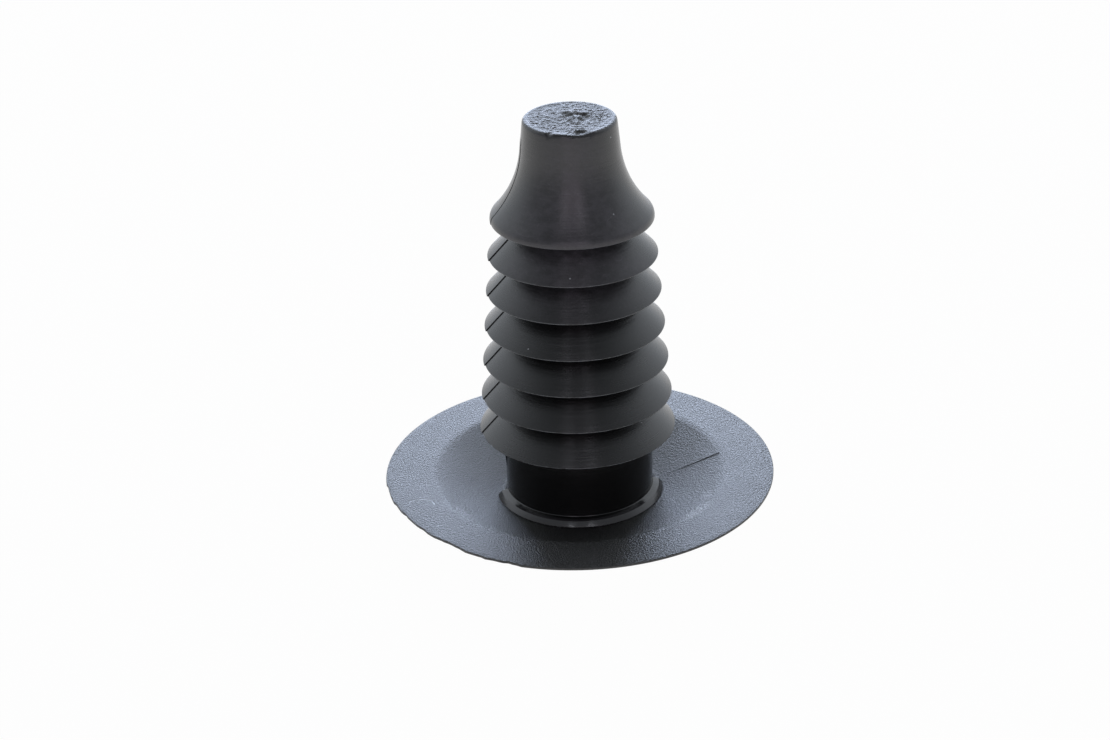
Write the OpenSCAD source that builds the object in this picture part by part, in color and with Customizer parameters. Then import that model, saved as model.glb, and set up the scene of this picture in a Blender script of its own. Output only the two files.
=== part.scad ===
// Push-in fir-tree trim clip, moulded in one piece and standing on its head.
// Millimetres. The stem runs along +Z from the crown of the head on z = 0.

/* [Head] */
// Diameter of the head
head_d = 20; // [18:0.5:24]
// Height of the flat brim above the crown
brim_h = 2.1; // [1.8:0.05:2.6]
// Thickness of the head at its thin rim
rim_t = 0.12; // [0.1:0.01:0.3]
// Rounding of the rim's two edges
rim_edge_r = 0.03; // [0.01:0.01:0.04]
// Diameter of the flat on the crown
crown_flat_d = 7; // [5:0.5:9]
// Diameter of the crest where the brim drops into the bowl
crest_d = 15; // [14:0.25:17]
// Rounding of the crest
crest_edge_r = 1.3; // [0.5:0.1:2.5]
// Depth of the conical bowl below the brim, at the neck
bowl_depth = 1.28; // [1:0.02:1.4]

/* [Neck] */
// Diameter of the plain neck between the head and the lowest fin
neck_d = 7.55; // [7:0.05:8]
// Radius of the fillet at the foot of the neck
neck_fillet_r = 0.38; // [0.05:0.01:0.5]
// Width of the collar that one mould half leaves around the foot of the neck
collar_w = 0.52; // [0.4:0.01:0.9]
// Height of the collar's upright edge above the bowl
collar_edge_h = 0.03; // [0.02:0.01:0.3]
// Height of the bevel between the collar's edge and its flat top
collar_bevel_h = 0.28; // [0.1:0.01:0.5]
// Width of that bevel
collar_bevel_w = 0.2; // [0.1:0.01:0.35]
// Direction of the collar's left end about the stem
collar_from = 192; // [185:1:215]
// Angle that the collar spans about the stem
collar_sweep = 170; // [90:1:176]

/* [Fins] */
// Number of fins under the nose
fin_count = 6; // [3:1:8]
// Gap from the brim to the edge of the lowest fin, where the panel is held
grip_gap = 2.6; // [2:0.05:5]
// Spacing of the fins along the stem
fin_pitch = 1.9; // [1.8:0.05:2.6]
// Diameter of the lowest fin
fin_d = 9.9; // [9.5:0.1:11]
// Drop in diameter from each fin to the next one up
fin_d_step = 0.3; // [0.1:0.05:0.35]
// Slope of a fin's upper side above level
fin_top_angle = 46; // [40:1:48]
// Slope of a fin's under side above level
fin_under_angle = 25; // [15:1:30]
// Thickness of a fin at its edge
fin_edge_t = 0.07; // [0.06:0.01:0.2]
// Rounding of a fin's edge
fin_edge_r = 0.03; // [0.01:0.01:0.03]
// Fillet at the roots of the fins
fin_root_r = 0.15; // [0.05:0.01:0.2]
// Diameter of the core at the lowest fin
core_d = 6.5; // [5.8:0.1:6.8]
// Diameter of the core under the nose
core_tip_d = 5.5; // [5:0.1:5.8]

/* [Nose] */
// Length of the nose from its skirt to its blunt end
nose_l = 5.3; // [4.8:0.05:7]
// Diameter of the blunt end
nose_end_d = 4.6; // [4:0.1:5]
// Draft of the nose's sides near the blunt end
nose_draft = 5.5; // [2:0.5:8]
// Radius of the flare from the sides out to the skirt
nose_flare_r = 5.5; // [4.5:0.25:7]
// Height of the skirt's blunt edge
skirt_edge_h = 0.32; // [0.28:0.01:0.5]
// Rounding of the skirt's upper corner
skirt_shoulder_r = 0.45; // [0.1:0.05:0.5]
// Rounding of the skirt's sharp lower corner
skirt_lip_r = 0.05; // [0.02:0.01:0.06]
// Rounding of the blunt end's edge
nose_edge_r = 0.12; // [0.02:0.01:0.3]
// Diameter of the groove that the broken gate leaves in the blunt end
gate_d = 1.5; // [1.3:0.1:2]
// Diameter of the torn stub inside the gate's groove
gate_stub_d = 0.9; // [0.4:0.1:1.1]
// Depth of the gate's groove
gate_depth = 0.12; // [0.05:0.01:0.3]
// Distance of the gate from the stem's axis
gate_offset = 0.3; // [0:0.05:0.6]

/* [Hidden] */
$fn = 96;

head_r = head_d / 2;
neck_r = neck_d / 2;
crown_r = crown_flat_d / 2;
crest_r = crest_d / 2;
collar_r = neck_r + collar_w;

// The dome under the head is a sphere that passes the flat's edge and the rim's lower edge
dome_rise = brim_h - rim_t;
dome = [0, (head_r ^ 2 - crown_r ^ 2 + dome_rise ^ 2) / (2 * dome_rise)];
dome_r = norm([crown_r, dome.y]);

// Fins are counted up from the head, and the nose's skirt sits one pitch above the last
fin_z0 = brim_h + grip_gap;
skirt_z = fin_z0 + fin_count * fin_pitch;
skirt_r = (fin_d - fin_count * fin_d_step) / 2;
end_z = skirt_z + nose_l;
end_r = nose_end_d / 2;

// Side of the tapered core, and the directions of a fin's two sides, from root to edge
core_foot = [core_d / 2, fin_z0];
core_up = unit([(core_tip_d - core_d) / 2, skirt_z - fin_z0]);
top_side = [cos(fin_top_angle), -sin(fin_top_angle)];
under_side = [cos(fin_under_angle), -sin(fin_under_angle)];

// The flare is an arc that is tangent to the drafted side and passes the skirt's upper corner
draft_side = [sin(nose_draft), -cos(nose_draft)];
draft_out = [cos(nose_draft), sin(nose_draft)];
skirt_top = [skirt_r, skirt_z + skirt_edge_h];
to_skirt = skirt_top - [end_r, end_z];
flare_drop = sqrt(nose_flare_r ^ 2 - (nose_flare_r - to_skirt * draft_out) ^ 2);
flare = [end_r, end_z] + draft_side * (to_skirt * draft_side - flare_drop) + draft_out * nose_flare_r;

function unit(v) = v / norm(v);

// Crossing of the line through p along d with the line through q along e
function crossing(p, d, q, e) = p + d * cross(q - p, e) / cross(d, e);

// Direction from point a to point b, in degrees
function heading(a, b) = atan2(b.y - a.y, b.x - a.x);

// Points of an arc about c from angle a0 to a1, as corners with no rounding
function arc(c, r, a0, a1, steps) = [
    for (i = [0:steps])
        let (a = a0 + (a1 - a0) * i / steps)
        [c.x + r * cos(a), c.y + r * sin(a), 0]
];

// A list without its first or its last item, where a rounded corner takes that place
function but_first(list) = [for (i = [1:len(list) - 1]) list[i]];
function but_last(list) = [for (i = [0:len(list) - 2]) list[i]];

// Corner c between its neighbours p and q, rounded to the radius that c carries
function rounded(p, c, q, steps = 4) =
    c.z == 0 ? [[c.x, c.y]] :
    let (
        at = [c.x, c.y],
        u = unit([p.x, p.y] - at),
        v = unit([q.x, q.y] - at),
        half = acos(u * v) / 2,
        centre = at + unit(u + v) * c.z / sin(half),
        from = at + u * c.z / tan(half) - centre,
        to = at + v * c.z / tan(half) - centre,
        a0 = atan2(from.y, from.x),
        turn = atan2(cross(from, to), from * to)
    )
    [for (p = arc(centre, c.z, a0, a0 + turn, steps)) [p.x, p.y]];

// Outline through a list of corners, each [x, z, rounding]
function outline(corners) = [
    for (i = [0:len(corners) - 1])
        each rounded(
            corners[(i + len(corners) - 1) % len(corners)],
            corners[i],
            corners[(i + 1) % len(corners)]
        )
];

// Height of the bowl's conical wall at radius x
function bowl_at(x) = brim_h - bowl_depth * (crest_r - x) / (crest_r - neck_r);

// Filleted corner where a fin's side, passing the point p, meets the core or the neck
function core_root(p, side) = [each crossing(p, side, core_foot, core_up), fin_root_r];
function neck_root(p, side) = [each crossing(p, side, [neck_r, 0], [0, 1]), fin_root_r];

// Corners of the head, from the crown's centre round the rim to the foot of the neck
function head_corners() = [
    [0, 0, 0],
    each but_last(arc(dome, dome_r, heading(dome, [crown_r, 0]), heading(dome, [head_r, dome_rise]), 14)),
    [head_r, dome_rise, rim_edge_r],
    [head_r, brim_h, rim_edge_r],
    [crest_r, brim_h, crest_edge_r],
    [neck_r, bowl_at(neck_r), neck_fillet_r]
];

// Corners of fin i, from its lower root round the edge to its upper root
function fin_corners(i) =
    let (
        x = (fin_d - i * fin_d_step) / 2,
        z = fin_z0 + i * fin_pitch
    )
    [
        i == 0 ? neck_root([x, z], under_side) : core_root([x, z], under_side),
        [x, z, fin_edge_r],
        [x, z + fin_edge_t, fin_edge_r],
        core_root([x, z + fin_edge_t], top_side)
    ];

// Corners of the nose, from the skirt's lower root to the centre of the blunt end
function nose_corners() = [
    core_root([skirt_r, skirt_z], under_side),
    [skirt_r, skirt_z, skirt_lip_r],
    [skirt_r, skirt_z + skirt_edge_h, skirt_shoulder_r],
    each but_first(arc(flare, nose_flare_r, heading(flare, skirt_top), nose_draft - 180, 14)),
    [end_r, end_z, nose_edge_r],
    [0, end_z, 0]
];

// Half section of the collar: an upright edge and a bevel below a flat top that runs into the neck
module collar_section() {
    inside = neck_r - collar_bevel_w;
    edge_z = bowl_at(collar_r) + collar_edge_h;
    polygon([
        [inside, bowl_at(neck_r)],
        [collar_r, bowl_at(neck_r)],
        [collar_r, edge_z],
        [collar_r - collar_bevel_w, edge_z + collar_bevel_h],
        [inside, edge_z + collar_bevel_h]
    ]);
}

// Ring that is cut into the blunt end around the gate's stub
module gate_groove() {
    translate([gate_offset, 0, end_z - gate_depth]) difference() {
        cylinder(d = gate_d, h = 2 * gate_depth);
        cylinder(d = gate_stub_d, h = 2 * gate_depth);
    }
}

// Whole clip, with the collar on the side that faces -Y
module fir_tree_clip() {
    fins = [for (i = [0:fin_count - 1]) each fin_corners(i)];
    color("#2b2c2e") difference() {
        union() {
            rotate_extrude() polygon(outline(concat(head_corners(), fins, nose_corners())));
            rotate(collar_from) rotate_extrude(angle = collar_sweep) collar_section();
        }
        gate_groove();
    }
}

fir_tree_clip();
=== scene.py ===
# %% [markdown]
# # A push-in trim clip
#
# The object is a fir-tree clip: one moulding of black plastic that stands on its dished head, with
# a plain neck, a stack of bending fins and a blunt flared nose. A mould in two halves made it, so
# fine seams run up its sides, one half left a collar at the foot of the neck, and the point where
# the plastic was injected is still torn. Those small signs are what this lesson models on top of
# the construction, which is loaded first and never moved.

# %% Load the construction
import math

import bmesh
import bpy
from mathutils import Matrix, Vector


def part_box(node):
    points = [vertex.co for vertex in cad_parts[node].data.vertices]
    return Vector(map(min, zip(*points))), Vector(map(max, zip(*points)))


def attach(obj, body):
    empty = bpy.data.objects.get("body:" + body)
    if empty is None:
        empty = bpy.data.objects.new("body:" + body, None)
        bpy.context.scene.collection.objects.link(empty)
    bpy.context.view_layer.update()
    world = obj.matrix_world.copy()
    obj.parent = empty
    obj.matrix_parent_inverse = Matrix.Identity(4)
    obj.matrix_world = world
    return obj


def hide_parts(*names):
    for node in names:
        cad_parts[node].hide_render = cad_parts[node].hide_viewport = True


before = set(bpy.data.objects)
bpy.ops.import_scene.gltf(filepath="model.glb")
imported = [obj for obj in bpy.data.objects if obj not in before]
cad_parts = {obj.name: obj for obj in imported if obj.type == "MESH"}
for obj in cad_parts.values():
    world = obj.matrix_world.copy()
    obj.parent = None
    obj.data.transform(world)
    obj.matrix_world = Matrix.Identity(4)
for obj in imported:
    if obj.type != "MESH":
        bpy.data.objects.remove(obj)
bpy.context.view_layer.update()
NODE = "fir_tree_clip"
MM = 0.001
low, high = (Vector(corner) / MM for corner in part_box(NODE))
print("construction, in mm:", [round(v, 2) for v in high - low])

# %% [markdown]
# ## Camera
#
# The camera comes first, because every later choice is judged through it. The photograph was taken
# from close by with a long lens, a little to the left of the stem and about 27 degrees above level.
# A camera could be aimed with a Track To constraint, but the picture is also rolled by two degrees,
# so its three axes are worked out and put in one matrix.

# %% Set up the camera
IMAGE_WIDTH = 1110
FOCAL_PX = 2368.0
CAMERA_AT = Vector((-1.1, -107.4, 61.4)) * MM
CAMERA_DOWN = math.radians(26.53)
CAMERA_ROLL = math.radians(-1.925)
NEAREST = 0.01

forward = Vector((0, math.cos(CAMERA_DOWN), -math.sin(CAMERA_DOWN)))
level = Vector((1, 0, 0))
upright = level.cross(forward)
right = level * math.cos(CAMERA_ROLL) + upright * math.sin(CAMERA_ROLL)
above = upright * math.cos(CAMERA_ROLL) - level * math.sin(CAMERA_ROLL)

bpy.ops.object.camera_add(location=CAMERA_AT)
camera = bpy.context.object
camera.matrix_world = Matrix.Translation(CAMERA_AT) @ Matrix((right, above, -forward)).transposed().to_4x4()
camera.data.sensor_width = 36
camera.data.lens = FOCAL_PX / IMAGE_WIDTH * camera.data.sensor_width
camera.data.clip_start = NEAREST
bpy.context.scene.camera = camera
bpy.context.scene.view_settings.view_transform = "Standard"
print("lens", round(camera.data.lens, 1), "mm")

# %% [markdown]
# ## The clip's section
#
# Cut in half along the stem, the clip shows one outline: dome, thin rim, flat brim, bowl, neck,
# fins and nose. A shape like that is best drawn once as a chain of points and spun. The sizes are
# those of the construction, in millimetres, and the two that bound it are read from the frame.

# %% Name the sizes of the section
HEAD_R = (high.x - low.x) / 2
END_Z = high.z

CROWN_R = 3.5
BRIM_Z = 2.1
RIM_T = 0.12
RIM_EDGE = 0.03
CREST_R = 7.5
CREST_EDGE = 1.3
BOWL_DEPTH = 1.28

NECK_R = 3.775
NECK_FILLET = 0.38
LEFT_FILLET = 0.2
BARE_FILLET = 0.12
COLLAR_R = NECK_R + 0.52
COLLAR_EDGE_H = 0.03
COLLAR_BEVEL_H = 0.28
COLLAR_BEVEL_W = 0.2
COLLAR_EDGE = 0.05
COLLAR_FALL = 0.08

FIN_COUNT = 6
FIN_PITCH = 1.9
FIN_R = 4.95
FIN_R_STEP = 0.15
FIN_Z = BRIM_Z + 2.6
FIN_EDGE_T = 0.07
FIN_EDGE = 0.03
FIN_ROOT = 0.15
FIN_TOP = math.radians(46)
FIN_UNDER = math.radians(25)
CORE_R = 3.25
CORE_TIP_R = 2.75

SKIRT_Z = FIN_Z + FIN_COUNT * FIN_PITCH
SKIRT_R = FIN_R - FIN_COUNT * FIN_R_STEP
SKIRT_EDGE_H = 0.32
SKIRT_SHOULDER = 0.45
SKIRT_LIP = 0.05
END_R = 2.3
END_EDGE = 0.18
TORN_BY = 0.03
TOP_Z = END_Z - TORN_BY
DRAFT = math.radians(5.5)
FLARE_ARC = 5.5
print("skirt at", round(SKIRT_Z, 2), "radius", round(SKIRT_R, 2))

# %% [markdown]
# Two helpers draw round stretches. One gives the points of an arc. The other takes a list of
# corners, each with its own rounding, and replaces every corner by a small arc that is tangent to
# both sides, which is what a bevel would do, but with the radius under control.

# %% Helpers for outlines
def arc(centre, radius, start, end, steps):
    """Points of an arc, each with no rounding of its own."""
    angles = [start + (end - start) * i / steps for i in range(steps + 1)]
    return [(centre.x + radius * math.cos(a), centre.y + radius * math.sin(a), 0) for a in angles]


def heading(start, end):
    return math.atan2(end[1] - start[1], end[0] - start[0])


def rounded(before, corner, after, steps=5):
    """A corner (x, z, rounding) as the points of a tangent arc between its two neighbours."""
    at, radius = Vector(corner[:2]), corner[2]
    if radius == 0:
        return [at]
    u = (Vector(before[:2]) - at).normalized()
    v = (Vector(after[:2]) - at).normalized()
    half = u.angle(v) / 2
    centre = at + (u + v).normalized() * radius / math.sin(half)
    first = at + u * radius / math.tan(half) - centre
    last = at + v * radius / math.tan(half) - centre
    start = math.atan2(first.y, first.x)
    turn = math.atan2(first.x * last.y - first.y * last.x, first.dot(last))
    return [Vector(p[:2]) for p in arc(centre, radius, start, start + turn, steps)]


def outline(corners):
    chain = [Vector(corners[0][:2])]
    for before, corner, after in zip(corners, corners[1:], corners[2:]):
        chain += rounded(before, corner, after)
    return chain + [Vector(corners[-1][:2])]


def between(a, b, parts):
    """Plain points that divide the straight stretch from a to b."""
    shares = [i / parts for i in range(1, parts)]
    return [(a[0] + (b[0] - a[0]) * t, a[1] + (b[1] - a[1]) * t, 0) for t in shares]


def crossing(p, d, q, e):
    """Where the line through p along d meets the line through q along e."""
    gap = q - p
    return p + d * ((gap.x * e.y - gap.y * e.x) / (d.x * e.y - d.y * e.x))


# %% [markdown]
# The outline is put together from the head, the foot of the neck, the fins and the nose. Only the
# foot differs around the stem: the back half of the mould gave it a fillet, wider on the right, and
# the front half a bevelled collar that stops a little short of the parting plane on the right, where
# the corner is almost bare. All get the same number of points, so that they can be bridged later.

# %% Corners of the head and the foot of the neck
DOME_STEPS = 18
rim_low_z = BRIM_Z - RIM_T
dome = Vector((0, (HEAD_R**2 - CROWN_R**2 + rim_low_z**2) / (2 * rim_low_z)))
dome_r = math.hypot(CROWN_R, dome.y)


def on_bowl(x):
    """Plain point of the conical bowl at a radius."""
    return (x, BRIM_Z - BOWL_DEPTH * (CREST_R - x) / (CREST_R - NECK_R), 0)


def head_corners():
    """Crown, dome, rim, brim and bowl, as far as the collar."""
    flat = [(CROWN_R * part, 0, 0) for part in (0, 0.25, 0.5, 0.75)]
    dome_ends = heading(dome, (CROWN_R, 0)), heading(dome, (HEAD_R, rim_low_z))
    dome_arc = arc(dome, dome_r, *dome_ends, DOME_STEPS)
    rim = [(HEAD_R, rim_low_z, RIM_EDGE), (HEAD_R, BRIM_Z, RIM_EDGE)]
    brim = [(HEAD_R - drop, BRIM_Z, 0) for drop in (0.3, 0.7, 1.2, 1.8)]
    wall = [on_bowl(CREST_R - 0.5), *between(on_bowl(CREST_R - 0.5), on_bowl(COLLAR_R), 8)]
    return flat + dome_arc[:-1] + rim + brim + [(CREST_R, BRIM_Z, CREST_EDGE)] + wall


def collar_corners():
    """Upright edge, bevel and slightly falling top of the collar, each corner rounded."""
    start = on_bowl(COLLAR_R)
    edge_z = start[1] + COLLAR_EDGE_H
    top_z = edge_z + COLLAR_BEVEL_H
    brink = (COLLAR_R - COLLAR_BEVEL_W, top_z - COLLAR_FALL / 2, COLLAR_EDGE)
    top_root = (NECK_R, top_z + COLLAR_FALL / 2, COLLAR_EDGE)
    return [start, (COLLAR_R, edge_z, COLLAR_EDGE / 2), brink, top_root]


def fillet_corners(radius):
    """A fillet at the foot, with as many points as the collar's three rounded corners."""
    start = on_bowl(COLLAR_R)
    foot = (*on_bowl(NECK_R)[:2], radius)
    return [start] + [(p.x, p.y, 0) for p in rounded(start, foot, (NECK_R, BRIM_Z), steps=17)]


# %% Corners of the fins
core_foot = Vector((CORE_R, FIN_Z))
core_up = Vector((CORE_TIP_R - CORE_R, SKIRT_Z - FIN_Z))


def root(x, z, slope, beside=core_foot, along=core_up):
    """Filleted corner where a fin's side meets the core, or the neck below the lowest fin."""
    at = crossing(Vector((x, z)), Vector((math.cos(slope), -math.sin(slope))), beside, along)
    return (at.x, at.y, FIN_ROOT)


def fin_corners(i):
    x, z = FIN_R - i * FIN_R_STEP, FIN_Z + i * FIN_PITCH
    beside_neck = (Vector((NECK_R, 0)), Vector((0, 1))) if i == 0 else ()
    lower = root(x, z, FIN_UNDER, *beside_neck)
    upper = root(x, z + FIN_EDGE_T, FIN_TOP)
    edge = [(x, z, FIN_EDGE), (x, z + FIN_EDGE_T, FIN_EDGE)]
    return [lower, *between(lower, edge[0], 3), *edge, *between(edge[1], upper, 4), upper]


# %% Corners of the nose and its blunt end
FLARE_STEPS = 22
END_STEPS = 22
draft_side = Vector((math.sin(DRAFT), -math.cos(DRAFT)))
draft_out = Vector((math.cos(DRAFT), math.sin(DRAFT)))
skirt_top = Vector((SKIRT_R, SKIRT_Z + SKIRT_EDGE_H))
to_skirt = skirt_top - Vector((END_R, TOP_Z))
flare_drop = math.sqrt(FLARE_ARC**2 - (FLARE_ARC - to_skirt.dot(draft_out)) ** 2)
flare = Vector((END_R, TOP_Z)) + draft_side * (to_skirt.dot(draft_side) - flare_drop) + draft_out * FLARE_ARC
GATE_RINGS = ((0.72, 0), (0.66, -0.02), (0.59, -0.06), (0.51, -0.08),
              (0.42, -0.06), (0.33, -0.03), (0.2, -0.02))


def nose_corners():
    lower = root(SKIRT_R, SKIRT_Z, FIN_UNDER)
    edge = [(SKIRT_R, SKIRT_Z, SKIRT_LIP), (*skirt_top, SKIRT_SHOULDER)]
    flare_arc = arc(flare, FLARE_ARC, heading(flare, skirt_top), DRAFT - math.pi, FLARE_STEPS)
    side = between(flare_arc[-1], (END_R, TOP_Z), 4)
    return [lower, *between(lower, edge[0], 3), *edge, *flare_arc[2:], *side, (END_R, TOP_Z, END_EDGE)]


def end_corners():
    """Rings of the blunt end, closing in on the gate's groove and the torn stub inside it."""
    flat = between((END_R - END_EDGE, TOP_Z), (GATE_RINGS[0][0], TOP_Z), END_STEPS)
    gate = [(x, TOP_Z + drop, 0) for x, drop in GATE_RINGS]
    stub_z = TOP_Z + GATE_RINGS[-1][1]
    return flat + gate + [(0.1, stub_z, 0), (0, stub_z, 0)]


def whole_outline(foot):
    neck = [(NECK_R, z, 0) for z in (1.9, 2.6, 3.3, 4.1)]
    fins = [corner for i in range(FIN_COUNT) for corner in fin_corners(i)]
    return outline(head_corners() + foot + neck + fins + nose_corners() + end_corners())


collared = whole_outline(collar_corners())
filleted, narrower, bare = (whole_outline(fillet_corners(radius))
                            for radius in (NECK_FILLET, LEFT_FILLET, BARE_FILLET))
print("points in each outline:", len(collared), len(filleted), len(narrower), len(bare))

# %% [markdown]
# ## Turning the sectors
#
# A lathe in Blender is the Spin tool. A plane is merged to one vertex, the vertex is extruded along
# the outline, and the chain is spun about the stem. A Screw modifier would make a whole turn at
# once, but separate sectors let each stretch of the mould keep its own outline. The angles are in
# degrees about the stem, and the mould parts at the first one and half a turn on.

# %% Spin each sector
PARTING = 9
FILLET_END = 30
COLLAR_END = 362
STEP_ANGLE = 180 / 128


def turn_sector(name, chain, start, end):
    """Draw an outline at the angle start, then spin it about the stem to the angle end."""
    bpy.ops.object.select_all(action="DESELECT")
    bpy.ops.mesh.primitive_plane_add(size=MM)
    piece = bpy.context.object
    piece.name = piece.data.name = name
    bpy.ops.object.mode_set(mode="EDIT")
    bpy.ops.mesh.select_mode(type="VERT")
    bpy.ops.mesh.select_all(action="SELECT")
    bpy.ops.mesh.merge(type="CENTER")
    bearing = math.radians(start)
    points = [Vector((p.x * math.cos(bearing), p.x * math.sin(bearing), p.y)) * MM for p in chain]
    bpy.ops.transform.translate(value=points[0])
    for before, after in zip(points, points[1:]):
        bpy.ops.mesh.extrude_region_move(TRANSFORM_OT_translate={"value": after - before})
    bpy.ops.mesh.select_all(action="SELECT")
    steps = round((end - start) / STEP_ANGLE)
    bpy.ops.mesh.spin(steps=steps, angle=math.radians(end - start), center=(0, 0, 0), axis=(0, 0, -1))
    bpy.ops.object.mode_set(mode="OBJECT")
    ys = [v.co.y / MM for v in piece.data.vertices]
    print(name, len(piece.data.vertices), "vertices, y from", round(min(ys), 2), "to", round(max(ys), 2))
    return piece


back_right = turn_sector("back_right", filleted, PARTING, FILLET_END)
back_half = turn_sector("back_half", narrower, FILLET_END, PARTING + 180)
clip = turn_sector("trim_clip", collared, PARTING + 180, COLLAR_END)
right_gap = turn_sector("right_gap", bare, COLLAR_END, PARTING + 360)

# %% [markdown]
# ## Mismatch of the mould
#
# The mould's halves never meet exactly. On this clip the back half stands out by a few hundredths
# of a millimetre along the left of the fins, and less on the nose, and it stands higher in the bowl
# on the right, where a fine line grows towards the crest. Points of the back half are picked by
# their place, in a few nested regions, and each region is moved by its share of the step, so that
# the step fades out instead of ending.

# %% Shift the back half
SEAM_STEP = 0.06
BOWL_STEP = 0.02
LEFTWARDS = -Vector((math.cos(math.radians(PARTING)), math.sin(math.radians(PARTING)), 0))
STEM_REGIONS = ((0, 2.6, 20.2), (1.5, 2.9, SKIRT_Z), (3, 3.2, SKIRT_Z))
BOWL_REGIONS = [(beyond, inner) for beyond in (1, 2.5, 4) for inner in (4.4, 5, 5.6, 6.2)]


def radius_of(co):
    return math.hypot(co.x, co.y)


def select_where(piece, test):
    """Select the vertices of the piece in edit mode whose place, in mm, passes the test."""
    mesh = bmesh.from_edit_mesh(piece.data)
    for v in mesh.verts:
        v.select = test(v.co / MM)
    mesh.select_flush_mode()
    bmesh.update_edit_mesh(piece.data)
    return sum(v.select for v in mesh.verts)


def in_bowl(co, inner):
    radius = radius_of(co)
    return inner < radius < CREST_R - 0.1 and on_bowl(radius)[1] - 0.05 < co.z < BRIM_Z


def move_where(piece, test, step):
    """Move the points that pass a test by a step in mm, and say how many there were."""
    count = select_where(piece, test)
    bpy.ops.transform.translate(value=step * MM)
    return count


def join(first, *others):
    """Join pieces into the first, and leave it in edit mode."""
    bpy.ops.object.select_all(action="DESELECT")
    for piece in (first, *others):
        piece.select_set(True)
    bpy.context.view_layer.objects.active = first
    bpy.ops.object.join()
    bpy.ops.object.mode_set(mode="EDIT")


join(back_half, back_right)
for left, low_z, high_z in STEM_REGIONS:
    moved = move_where(back_half, lambda co: co.dot(LEFTWARDS) > left and low_z < co.z < high_z,
                       LEFTWARDS * SEAM_STEP / len(STEM_REGIONS))
    print("left of", left, "mm:", moved, "points of the stem")
for beyond, inner in BOWL_REGIONS:
    moved = move_where(back_half, lambda co: co.dot(LEFTWARDS) < -beyond and in_bowl(co, inner),
                       Vector((0, 0, BOWL_STEP / len(BOWL_REGIONS))))
print("points of the bowl that rose all the way:", moved)
bpy.ops.object.mode_set(mode="OBJECT")

# %% [markdown]
# ## Closing the seam
#
# Joined into one object, the sectors have two open edges at each of the four angles where they meet.
# Each pair is bridged, which makes the thin step of the seam and the flat ends of the collar, and
# points that coincide are then merged. The normals are recalculated last, because a spin can leave
# a shell inside out.

# %% Bridge and merge the sectors
ON_PLANE = 0.0006
MERGE_WITHIN = 0.001


def on_seam(angle):
    """A test for points in the half plane at an angle about the stem."""
    along = Vector((math.cos(math.radians(angle)), math.sin(math.radians(angle)), 0))
    across = Vector((-along.y, along.x, 0))
    return lambda co: abs(co.dot(across)) < ON_PLANE and co.dot(along) > 0.05


join(clip, back_half, right_gap)
for angle in (PARTING, FILLET_END, PARTING + 180, COLLAR_END):
    count = select_where(clip, on_seam(angle))
    bpy.ops.mesh.bridge_edge_loops()
    print("bridged a seam of", count, "points at", angle, "degrees")
bpy.ops.mesh.select_all(action="SELECT")
bpy.ops.mesh.remove_doubles(threshold=MERGE_WITHIN * MM)
bpy.ops.mesh.dissolve_degenerate(threshold=MERGE_WITHIN / 2 * MM)
bpy.ops.mesh.select_all(action="SELECT")
bpy.ops.mesh.normals_make_consistent(inside=False)
bpy.ops.mesh.select_all(action="DESELECT")
bpy.ops.mesh.select_non_manifold()
mesh = bmesh.from_edit_mesh(clip.data)
print("open edges left:", sum(e.select for e in mesh.edges), "faces:", len(mesh.faces))

# %% [markdown]
# ## The torn end
#
# Plastic was injected through the blunt end, and the sprue was broken off there. That left a ragged
# pit, a little to one side of the stem, around a torn stub, and the whole face is uneven and falls
# towards the front. The rings of the end are already in the outline, so the inner ones are slid
# aside, and the face is lowered in many small steps from back to front. Dents and chips are then
# pushed in, the pit deeper at its back and filled at its front, and the face is roughened by a
# Displace modifier with cloud noise that fades out at the edge. Sculpting would be the other way.

# %% Slide the gate aside, chip and roughen the end
GATE_AT = Vector((0.3, 0.06, 0))
SLIDE_RINGS = 10
SLIDE_FROM = 1.9
SLIDE_STEP = 0.1
END_FACE_R = 2.26
END_FALL = 0.08
FALL_STEPS = 16
TEAR_FADE = ((2.12, 0.35), (2.0, 0.7), (1.88, 1))
END_DEPTH = 0.24
TEAR_DEPTH = 0.09
TEAR_SIZE = 0.14
TEAR_DETAIL = 3
TEAR_MID = 0.8
DENT_SHARES = (1, 0.75, 0.5)
DENTS = {"back left of the pit": (-0.15, 0.6, 0.24, -0.06),
         "right of the pit": (0.78, 0.45, 0.18, -0.04),
         "lump in the pit": (0.4, 0.15, 0.3, 0.04), "filled front": (0.3, -0.5, 0.3, 0.06),
         "nick": (0.36, -1.78, 0.17, -0.1), "nick's right end": (0.58, -1.74, 0.14, -0.07),
         "worn front edge": (0.5, -2.3, 0.7, -0.07), "chip": (-1.0, -1.95, 0.18, -0.06)}


def at_end(co):
    return co.z > TOP_Z - END_DEPTH


def end_within(reach, centre=Vector((0, 0, 0))):
    """A test for points of the blunt end within a distance of a centre on it."""
    return lambda co: at_end(co) and radius_of(co - centre) < reach


slid = Vector((0, 0, 0))
for i in range(SLIDE_RINGS):
    move_where(clip, end_within(SLIDE_FROM - SLIDE_STEP * i, slid), GATE_AT / SLIDE_RINGS)
    slid += GATE_AT / SLIDE_RINGS
fall = Vector((0, 0, -END_FALL / FALL_STEPS))
for i in range(FALL_STEPS):
    front = END_R - 2 * END_R * i / FALL_STEPS
    move_where(clip, lambda co: at_end(co) and co.y < front, fall)
for label, (x, y, reach, rise) in DENTS.items():
    push = Vector((0, 0, rise / len(DENT_SHARES)))
    for share in DENT_SHARES:
        moved = move_where(clip, end_within(reach * share, Vector((x, y, 0))), push)
    print(label, moved, "points at its middle")

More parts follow.
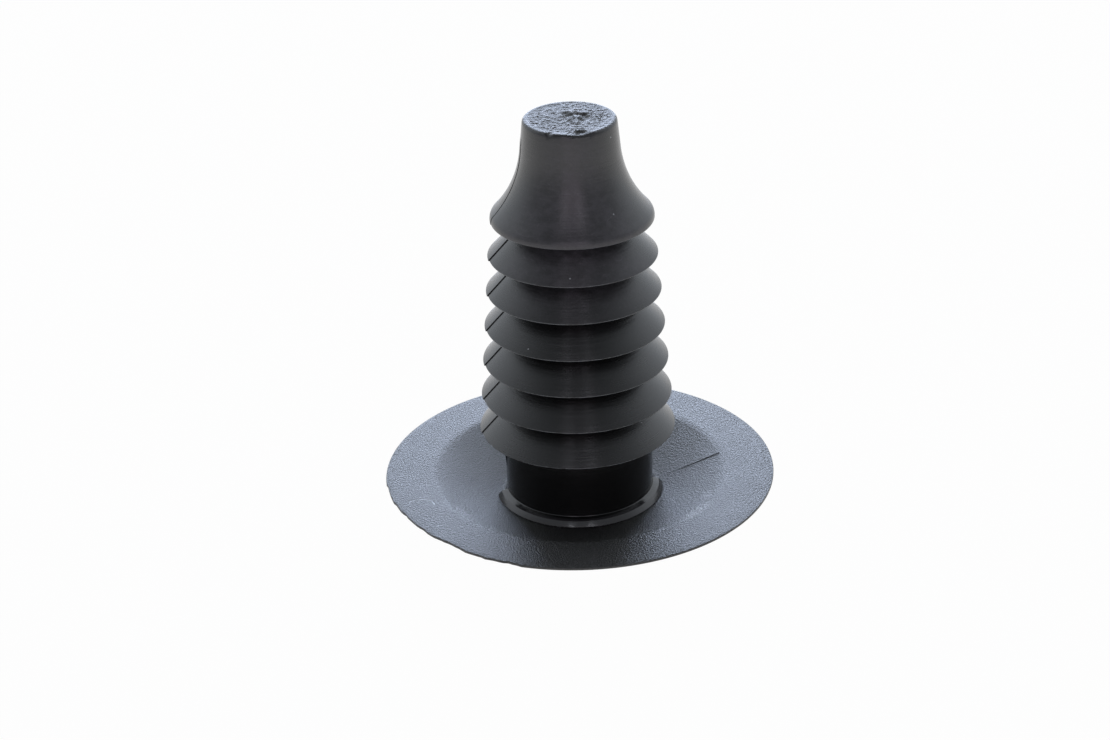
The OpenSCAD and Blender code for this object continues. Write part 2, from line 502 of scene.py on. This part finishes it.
bpy.ops.object.vertex_group_add()
clip.vertex_groups.active.name = "blunt_end"
for reach, weight in TEAR_FADE:
    count = select_where(clip, end_within(reach))
    bpy.context.scene.tool_settings.vertex_group_weight = weight
    bpy.ops.object.vertex_group_assign()
bpy.ops.object.mode_set(mode="OBJECT")
tear = bpy.data.textures.new("torn_end", "CLOUDS")
tear.noise_scale = TEAR_SIZE * MM
tear.noise_depth = TEAR_DETAIL
bpy.ops.object.modifier_add(type="DISPLACE")
roughen = clip.modifiers[-1]
roughen.texture = tear
roughen.vertex_group = "blunt_end"
roughen.direction = "Z"
roughen.mid_level = TEAR_MID
roughen.strength = TEAR_DEPTH * MM
bpy.ops.object.modifier_apply(modifier=roughen.name)
print("roughened", count, "points of the blunt end in full")

# %% [markdown]
# ## Wear on the rim
#
# The rim is as thin as card, and at the front left it has been rubbed back and nicked. Each bite is
# a stretch of the rim, picked by its angle about the stem and scaled in towards it. Three nested
# stretches, each scaled by a third of the depth, give a bite with sloping sides.

# %% Rub back and nick the rim
RIM_INSIDE = 9.4
RIM_BITES = {"rubbed front left": (-141, 32, 0.2), "nick at the left": (-154, 2, 0.09),
             "tear": (-132, 6, 0.09), "tear's end": (-129, 2.5, 0.05), "dent": (-144, 2.5, 0.05),
             "nick at the front": (-112, 2, 0.08), "small nick": (-116, 2.5, 0.05)}

BITE_SHARES = (1, 2 / 3, 1 / 3)


def on_rim(angle, spread):
    """A test for points of the rim within a spread of an angle about the stem, in degrees."""
    def test(co):
        turn = math.remainder(math.degrees(math.atan2(co.y, co.x)) - angle, 360)
        return radius_of(co) >= RIM_INSIDE and abs(turn) < spread
    return test


bpy.ops.object.mode_set(mode="EDIT")
for label, (angle, spread, depth) in RIM_BITES.items():
    shrink = 1 - depth / len(BITE_SHARES) / HEAD_R
    for share in BITE_SHARES:
        count = select_where(clip, on_rim(angle, spread * share))
        bpy.ops.transform.resize(value=(shrink, shrink, 1), center_override=(0, 0, 0))
    print(label, count, "points at its deepest")
bpy.ops.object.mode_set(mode="OBJECT")

# %% [markdown]
# ## Shading
#
# The outline's arcs are fine enough to be shaded smooth, while the edges of the collar, the seams
# and the crown should stay crisp, so smoothing stops at a set angle between faces.

# %% Smooth the shading
SMOOTH_BELOW = math.radians(40)

bpy.ops.object.shade_smooth_by_angle(angle=SMOOTH_BELOW)
clip_tris = sum(len(face.vertices) - 2 for face in clip.data.polygons)
print("clip:", clip_tris, "triangles, box", [round(v / MM, 2) for v in clip.dimensions])

# %% [markdown]
# ## Shader maths
#
# Every finish is worked out from the place of a point on the clip, so the node trees are mostly
# arithmetic. This class wraps a socket so that the arithmetic can be written as Python, and one
# method adds any other node. Numbers that never change are set on the shader itself.

# %% A socket that takes part in expressions
class Wire:
    """A shader socket; an expression on wires adds the nodes that work it out."""

    def __init__(self, tree, socket):
        self.tree = tree
        self.socket = socket

    def node(self, kind, settings=None, sockets=None, out=0):
        """Add a node of a kind, with its settings, then its sockets as values or wires."""
        made = self.tree.nodes.new(kind)
        for name, value in (settings or {}).items():
            setattr(made, name, value)
        for name, value in (sockets or {}).items():
            if isinstance(value, Wire):
                self.tree.links.new(value.socket, made.inputs[name])
            else:
                made.inputs[name].default_value = value
        return Wire(self.tree, made.outputs[out])

    def math(self, operation, a, b):
        return self.node("ShaderNodeMath", {"operation": operation}, {0: a, 1: b})

    def __add__(self, other):
        return self.math("ADD", self, other)

    def __sub__(self, other):
        return self.math("SUBTRACT", self, other)

    def __rsub__(self, other):
        return self.math("SUBTRACT", other, self)

    def __mul__(self, other):
        return self.math("MULTIPLY", self, other)

    def __pow__(self, other):
        return self.math("POWER", self, other)

    def __abs__(self):
        return self.math("ABSOLUTE", self, 0)

    __radd__ = __add__
    __rmul__ = __mul__

    def step(self, start, end):
        """Smooth step from 0 at start to 1 at end, which may lie below start."""
        ends = {"Value": self, "From Min": start, "From Max": end}
        return self.node("ShaderNodeMapRange", {"interpolation_type": "SMOOTHSTEP"}, ends)

    def stretch(self, x, y, z):
        """A vector wire with each part multiplied."""
        return self.node("ShaderNodeVectorMath", {"operation": "MULTIPLY"}, {0: self, 1: (x, y, z)})

    def noise(self, scale, detail=2, roughness=0.5):
        """Noise at a place, scale in bumps per millimetre."""
        sockets = {"Vector": self, "Scale": scale, "Detail": detail, "Roughness": roughness}
        return self.node("ShaderNodeTexNoise", {"normalize": True}, sockets)

    def tint(self, start, end):
        """A colour between two, with this wire as the factor."""
        return self.node("ShaderNodeMix", {"data_type": "RGBA"}, {0: self, 6: start, 7: end}, out=2)


SPECULAR = 0.8


def parts_of(vector):
    """The x, y and z of a vector wire."""
    return [vector.node("ShaderNodeSeparateXYZ", {}, {0: vector}, out=i) for i in range(3)]


def length(x, y):
    return (x * x + y * y) ** 0.5


def new_finish(name):
    """A material with its shader, and the place on the clip in millimetres, as a vector and x, y, z."""
    finish = bpy.data.materials.new(name)
    finish.use_nodes = True
    tree = finish.node_tree
    shader = tree.nodes["Principled BSDF"]
    shader.inputs["Specular IOR Level"].default_value = SPECULAR
    place = Wire(tree, None).node("ShaderNodeTexCoord", out="Object")
    place = place.stretch(1 / MM, 1 / MM, 1 / MM)
    return finish, shader, place, *parts_of(place)


def connect(shader, **sockets):
    """Link wires to the shader's sockets, named with _ for a space."""
    for name, wire in sockets.items():
        wire.tree.links.new(wire.socket, shader.inputs[name.replace("_", " ")])


def relief(height, depth):
    """A bump from a height between 0 and 1, with its depth in millimetres."""
    return height.node("ShaderNodeBump", {}, {"Height": height, "Strength": 1, "Distance": depth * MM})


# %% [markdown]
# ## Finish of the stem
#
# The stem comes from a turned and polished mould, so the plastic is satin black with faint rings
# left by the lathe, low smudges where it was handled, hairline scratches and a few specks of dust.
# Black plastic is seen almost only by what it reflects, so roughness and bump carry most of the
# detail. Stretching the noise along the stem gives the rings without a texture to wrap round it. The
# finest rings can't be seen singly, but they spread every reflection along the stem, which is what
# the shader's anisotropy, turned by a quarter, is for. On the front of the nose and the upper fins,
# scuffs from the holes they were pushed through are painted a purplish grey that is also a painted
# sheen of the light in front. The thin lips of the fins are painted pale, partly as wear and partly
# as a painted highlight, and the collar is painted grey as its painted sheen. The neck, below the
# fins, kept the mould's polish.

# %% Satin plastic of the stem
BLACK = (0.004, 0.0037, 0.0036, 1)
WORN_BLACK = (0.014, 0.0132, 0.0138, 1)
# Grey of scuffs, also used for a painted sheen on the front of the stem and for paler torn plastic.
SCUFF_AND_SHEEN_GREY = (0.13, 0.118, 0.134, 1)
# Pale grey of the fins' lips: wear, and a painted highlight.
LIP_WEAR_AND_HIGHLIGHT_GREY = (0.16, 0.167, 0.18, 1)
# Pale grey of dust and lint, also used for a painted highlight on the crest.
PALE_DUST_AND_HIGHLIGHT = (0.6, 0.61, 0.63, 1)
RING_SPREAD = 0.8
QUARTER_TURN = 0.25
STREAK_SHARE = 0.4
LIP_W = 0.07
LIP_H = 0.09


def specks(place, per_mm, size, kept):
    """Round specks in some of the cells of a grid, as a mask."""
    cells = {"feature": "F1"}
    sockets = {"Vector": place, "Scale": per_mm}
    near = place.node("ShaderNodeTexVoronoi", cells, sockets, out=0)
    chance = place.node("ShaderNodeTexVoronoi", cells, sockets, out=1)
    pick = chance.node("ShaderNodeSeparateColor", {}, {0: chance}, out=0)
    return near.step(size * per_mm, size * per_mm * 0.5) * pick.step(1 - kept, 1 - kept + 0.01)


def hairlines(place, per_mm, width):
    """Thin wandering lines, broken into short lengths, as a mask."""
    from_middle = place.noise(per_mm, detail=1) - 0.5
    broken = place.noise(2 * per_mm).step(0.52, 0.6)
    return abs(from_middle).step(width, width / 3) * broken


def stem_finish():
    finish, shader, place, x, y, z = new_finish("satin_stem")
    radius = length(x, y)
    rings = place.stretch(0.3, 0.3, 8).noise(1, detail=3, roughness=0.65)
    smudge = place.stretch(1, 1, 0.6).noise(0.55, detail=4, roughness=0.6)
    mottle = place.stretch(1, 1, 1.6).noise(1.6, detail=4, roughness=0.65)
    grain = place.noise(9, detail=3, roughness=0.6)
    polished = z.step(4.6, 4.2)
    # Scuffs on the front of the nose and upper fins, which also carry a painted sheen of the light in front.
    scuffed_and_sheen = z.step(11, 15) * y.step(-1, -3) * (0.4 + 0.6 * mottle.step(0.3, 0.7))
    skirt = z.step(SKIRT_Z - 0.1, SKIRT_Z) * z.step(SKIRT_Z + 1.1, SKIRT_Z + 0.5)
    # The collar is painted grey as its painted sheen.
    collar = radius.step(NECK_R + 0.1, NECK_R + 0.25) * z.step(2, 1.8)
    scratch = hairlines(place.stretch(1, 1, 4), 0.6, 0.016) * scuffed_and_sheen
    inside = FIN_R - (z - FIN_Z) * (FIN_R_STEP / FIN_PITCH) - radius
    over_lip = z.math("FLOORED_MODULO", z - FIN_Z, FIN_PITCH)
    # The thin lower lips of the fins: rubbed pale, and a painted highlight of their edge.
    lip_wear_and_highlight = inside.step(LIP_W, 0.01) * over_lip.step(LIP_H, LIP_H / 2) * place.noise(2.2).step(0.3, 0.6)
    dust = specks(place, 0.9, 0.055, 0.3) * (1 - polished)
    streaks = smudge.step(0.35, 0.75) + rings.step(0.4, 0.7) + grain.step(0.5, 0.75)
    colour = (streaks * STREAK_SHARE * (1 - polished)).tint(BLACK, WORN_BLACK)
    # Grey for the scuffs with their painted sheen, the scratches, and the collar's painted sheen.
    colour = (scuffed_and_sheen * 0.65 + scratch * 0.35 + collar * 0.25).tint(colour, SCUFF_AND_SHEEN_GREY)
    colour = lip_wear_and_highlight.tint(colour, LIP_WEAR_AND_HIGHLIGHT_GREY)
    colour = dust.tint(colour, PALE_DUST_AND_HIGHLIGHT)
    roughness = 0.2 + 0.07 * smudge + 0.06 * rings + 0.1 * scuffed_and_sheen + 0.04 * skirt - 0.13 * polished
    height = rings * 0.8 + grain * 0.4 * (1 - 0.8 * polished) + mottle * polished
    connect(shader, Base_Color=colour, Roughness=roughness, Normal=relief(height, 0.012))
    shader.inputs["Anisotropic"].default_value = RING_SPREAD
    shader.inputs["Anisotropic Rotation"].default_value = QUARTER_TURN
    return finish


# %% [markdown]
# ## Finish of the head
#
# The mould's face for the head was spark eroded, which leaves a fine even grain that scatters the
# light. Two sizes of noise make the grain as bump. The crest has been rubbed in places, and the rubs
# at the front right are also a painted highlight of the crest. A hair of lint lies on the brim, and
# there is some dust. Each mark is a mask by radius and by angle about a centre, which could also be
# painted on an image, but stays sharp at any size this way.

# %% Grained plastic of the head
HEAD_BLACK = (0.0015, 0.0015, 0.0015, 1)
GRAIN_PER_MM = 9.5
# Rubs on the crest as radius, angle, spread and share; those at the front right are also a painted
# highlight.
CREST_RUBS_AND_HIGHLIGHT = ((7.5, -40, 11, 1), (7.05, -25, 5, 0.6), (7.3, -146, 9, 0.4))
RUB_W = 0.45
LINT_AT = (-8.09, -3.48)
LINT_R = 0.69
LINT_W = 0.05
LINT_TURN = 80


def turned_from(x, y, angle):
    """Degrees between the direction of a place about the stem and an angle, always positive."""
    towards = math.radians(angle)
    along = x * math.cos(towards) + y * math.sin(towards)
    across = y * math.cos(towards) - x * math.sin(towards)
    return abs(across.math("ARCTAN2", across, along) * math.degrees(1))


def head_finish():
    finish, shader, place, x, y, _ = new_finish("grained_head")
    radius = length(x, y)
    grain = place.noise(GRAIN_PER_MM, detail=3, roughness=0.65)
    pits = place.noise(2.4 * GRAIN_PER_MM, detail=1)
    smudge = place.noise(0.45, detail=4, roughness=0.6)
    colour = smudge.step(0.35, 0.75).tint(BLACK, HEAD_BLACK)
    broken = grain.step(0.42, 0.6)
    # Rubs on the crest; those at the front right also paint the crest's highlight.
    for crest, angle, spread, share in CREST_RUBS_AND_HIGHLIGHT:
        along = turned_from(x, y, angle).step(spread, spread * 0.3)
        rub_and_highlight = abs(radius - crest).step(RUB_W, 0) * along * broken * share
        colour = rub_and_highlight.tint(colour, PALE_DUST_AND_HIGHLIGHT)
    lint_x, lint_y = x - LINT_AT[0], y - LINT_AT[1]
    lint = abs(length(lint_x, lint_y) - LINT_R).step(LINT_W, LINT_W / 3)
    lint = lint * turned_from(lint_x, lint_y, LINT_TURN).step(80, 60)
    dust = specks(place, 0.7, 0.05, 0.15)
    colour = lint.math("MAXIMUM", lint, dust).tint(colour, PALE_DUST_AND_HIGHLIGHT)
    roughness = 0.22 + 0.1 * smudge + 0.06 * grain
    height = grain * 0.75 + pits * 0.25
    connect(shader, Base_Color=colour, Roughness=roughness, Normal=relief(height, 0.1))
    return finish


# %% [markdown]
# ## Finish of the blunt end
#
# Torn plastic is dull and granular, and paler where it was stretched. The larger bumps are already
# in the mesh, so the material adds only the grain of the tear.

# %% Torn plastic of the blunt end
def end_finish():
    finish, shader, place, *_ = new_finish("torn_end")
    grain = place.noise(6, detail=4, roughness=0.7)
    pale = place.noise(1.3, detail=3)
    colour = pale.step(0.45, 0.8).tint(BLACK, SCUFF_AND_SHEEN_GREY)
    roughness = 0.32 + 0.14 * grain
    connect(shader, Base_Color=colour, Roughness=roughness, Normal=relief(grain, 0.03))
    return finish


# %% [markdown]
# The three finishes go on three areas of the one mesh, picked by place: all below the brim and
# outside the collar is the head, and the face inside the nose's edge is the torn end.

# %% Assign the finishes
FINISHES = [stem_finish(), head_finish(), end_finish()]
HEAD_MARGIN = 0.1


def is_head(co):
    radius = radius_of(co)
    surface = BRIM_Z if radius > CREST_R else on_bowl(radius)[1]
    return co.z < surface + HEAD_MARGIN and (radius > NECK_R + 0.03 or co.z < 0.7)


for finish in FINISHES:
    clip.data.materials.append(finish)
bpy.ops.object.mode_set(mode="EDIT")
for index, test in ((1, is_head), (2, end_within(END_FACE_R))):
    select_where(clip, test)
    clip.active_material_index = index
    bpy.ops.object.material_slot_assign()
bpy.ops.object.mode_set(mode="OBJECT")
print("finishes:", [finish.name for finish in FINISHES])

# %% [markdown]
# ## Floor and light
#
# The clip stands on white paper that fades into a white background. The floor glows for the camera
# and for reflections, with some plain diffuse white left in it, so that it stays white but keeps the
# clip's shadow. The light comes from a broad soft panel behind the clip, while the side of the room
# where the camera stands is dim. That is why the brim, which mirrors the back of the room, is pale,
# and the middle of the stem, which mirrors the front, is nearly black. A faint rosy glow and two small
# lamps at the front could be more panels, but they are only seen as reflections, so they are painted
# into the world, which keeps the picture free of noise.

# %% White floor and world
FLOOR_SIZE = 1.2
FLOOR_GLOW = 0.98
PAPER_WHITE = (0.85, 0.85, 0.85, 1)
ROOM_LIGHT = 0.4
DIM_SIDE = 0.36
DIM_ABOVE = 0.75
FRONT_GLOW = 0.5
FRONT_LAMPS = 2.4
COOL_WHITE = (0.93, 0.99, 1.06, 1)
ROSE_WHITE = (1.08, 0.95, 1.1, 1)


def seen_directly(wire):
    """1 for rays from the camera, from reflections and through glass, otherwise 0."""
    kinds = "Is Camera Ray", "Is Glossy Ray", "Is Transmission Ray"
    camera_ray, glossy, through = (wire.node("ShaderNodeLightPath", out=kind) for kind in kinds)
    return (camera_ray + glossy + through).step(0, 0.5)


bpy.ops.object.select_all(action="DESELECT")
bpy.ops.mesh.primitive_plane_add(size=FLOOR_SIZE)
floor = bpy.context.object
floor.name = "floor"
paper = bpy.data.materials.new("white_paper")
paper.use_nodes = True
paper_shader = paper.node_tree.nodes["Principled BSDF"]
paper_shader.inputs["Base Color"].default_value = PAPER_WHITE
paper_shader.inputs["Roughness"].default_value = 1
paper_shader.inputs["Specular IOR Level"].default_value = 0
start = Wire(paper.node_tree, None)
glow = start.node("ShaderNodeEmission", {}, {"Color": (1, 1, 1, 1), "Strength": 1})
shade = Wire(paper.node_tree, paper_shader.outputs[0])
glowing = seen_directly(start) * FLOOR_GLOW
mixed = start.node("ShaderNodeMixShader", {}, {0: glowing, 1: shade, 2: glow})
paper_out = paper.node_tree.nodes["Material Output"]
paper.node_tree.links.new(mixed.socket, paper_out.inputs["Surface"])
floor.data.materials.append(paper)

world = bpy.context.scene.world or bpy.data.worlds.new("studio")
bpy.context.scene.world = world
world.use_nodes = True
sky = world.node_tree.nodes["Background"]
start = Wire(world.node_tree, None)
direction = start.node("ShaderNodeTexCoord", out="Generated")
sideways, towards_back, upwards = parts_of(direction)
aside = abs(sideways)
in_front = towards_back.step(-0.3, -0.5)
rosy = in_front * aside.step(0.45, 0.25) * upwards.step(0.05, 0.25) * upwards.step(0.72, 0.5)
lamp_width = aside.step(0.1, 0.16) * aside.step(0.28, 0.22)
lamp_height = upwards.step(0.54, 0.6) * upwards.step(0.72, 0.66)
brighter_back = DIM_SIDE + (1 - DIM_SIDE) * towards_back.step(-0.45, 0.5)
room = brighter_back * (1 - DIM_ABOVE * upwards.step(0.8, 0.95))
room = room + FRONT_GLOW * rosy + FRONT_LAMPS * in_front * lamp_width * lamp_height
camera_ray = start.node("ShaderNodeLightPath", out="Is Camera Ray")
lit = ROOM_LIGHT + (1 - ROOM_LIGHT) * seen_directly(start)
strength = camera_ray + (1 - camera_ray) * room * lit
world.node_tree.links.new(rosy.tint(COOL_WHITE, ROSE_WHITE).socket, sky.inputs["Color"])
world.node_tree.links.new(strength.socket, sky.inputs["Strength"])
print("floor of", FLOOR_SIZE, "m, and a white world")

# %% Soft panel behind
PANEL_COLOUR = (0.82, 0.96, 1.25)
PANEL_AWAY = 0.34
PANEL_RISE = math.radians(10)
PANEL_SIZE = (0.185, 0.25)
PANEL_LIGHT = 3.4

aim = Vector((0, math.cos(PANEL_RISE), math.sin(PANEL_RISE)))
bpy.ops.object.light_add(type="AREA", location=aim * PANEL_AWAY)
lamp = bpy.context.object
lamp.name = "back_panel"
lamp.rotation_euler = aim.to_track_quat("Z", "Y").to_euler()
lamp.data.shape = "RECTANGLE"
lamp.data.size, lamp.data.size_y = PANEL_SIZE
lamp.data.energy = PANEL_LIGHT * 4 * PANEL_SIZE[0] * PANEL_SIZE[1]
lamp.data.color = PANEL_COLOUR
lamp.visible_camera = False
print("back panel at", [round(v, 2) for v in lamp.location])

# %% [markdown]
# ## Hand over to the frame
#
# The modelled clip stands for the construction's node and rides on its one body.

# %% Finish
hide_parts(NODE)
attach(clip, "root")
